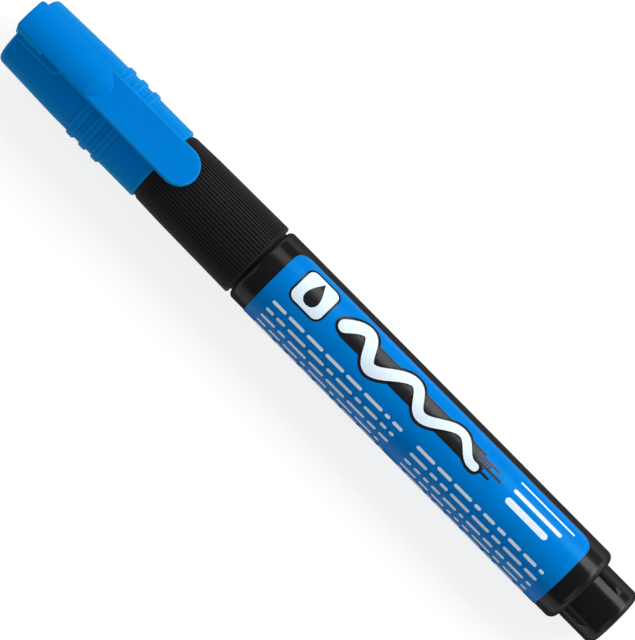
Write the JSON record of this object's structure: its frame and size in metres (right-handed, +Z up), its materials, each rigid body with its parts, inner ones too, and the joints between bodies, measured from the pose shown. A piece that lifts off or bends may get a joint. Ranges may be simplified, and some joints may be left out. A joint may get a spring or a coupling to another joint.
{
  "type": "paint marker",
  "caption": "Capped valve-action paint marker: blue clip cap over a fibre bullet nib, ribbed black grip, gloss black barrel with a printed label, and a stub tail that posts the cap.",
  "frame": {"origin": "on the surface that the marker lies on, under the middle of its length", "axes": "+X along the marker's axis from the tail to the cap, +Z up through the clip"},
  "size_m": [0.1402, 0.0154, 0.0179],
  "materials": {
    "barrel_plastic": "gloss moulded",
    "label_film": "gloss printed film",
    "grip_plastic": "satin moulded",
    "nib_fibre": "pressed fibre",
    "seal_rubber": "soft moulded",
    "valve_plastic": "natural moulded",
    "spring_steel": "drawn wire",
    "cap_plastic": "satin moulded",
    "liner_plastic": "natural moulded",
    "ball_steel": "polished"
  },
  "bodies": {
    "body": {"barrel": "barrel_plastic", "tail_plug": "barrel_plastic", "label": "label_film", "front_section": "grip_plastic", "valve_seat": "seal_rubber", "valve_housing": "valve_plastic", "valve_spring": "spring_steel"},
    "cap": {"cap": "cap_plastic", "inner_cap": "liner_plastic"},
    "nib": {"nib": "nib_fibre"},
    "valve": {"valve_stem": "valve_plastic"},
    "ball": {"mixing_ball": "ball_steel"}
  },
  "joints": [
    {"name": "cap_pull", "type": "slide", "parent": "body", "child": "cap", "axis": [1, 0, 0], "range_m": [0, 0.045]},
    {"name": "nib_press", "type": "slide", "parent": "body", "child": "nib", "axis": [-1, 0, 0], "range_m": [0, 0.002], "stiffness_N_per_m": 600, "springref_m": -0.001},
    {"name": "valve_lift", "type": "slide", "parent": "body", "child": "valve", "axis": [-1, 0, 0], "range_m": [0, 0.002], "deforming": ["valve_spring"]},
    {"name": "ball_run", "type": "slide", "parent": "body", "child": "ball", "axis": [1, 0, 0], "range_m": [-0.0145, 0.0395]}
  ],
  "couplings": [
    {"joint": "valve_lift", "follows": "nib_press", "ratio": 1}
  ]
}
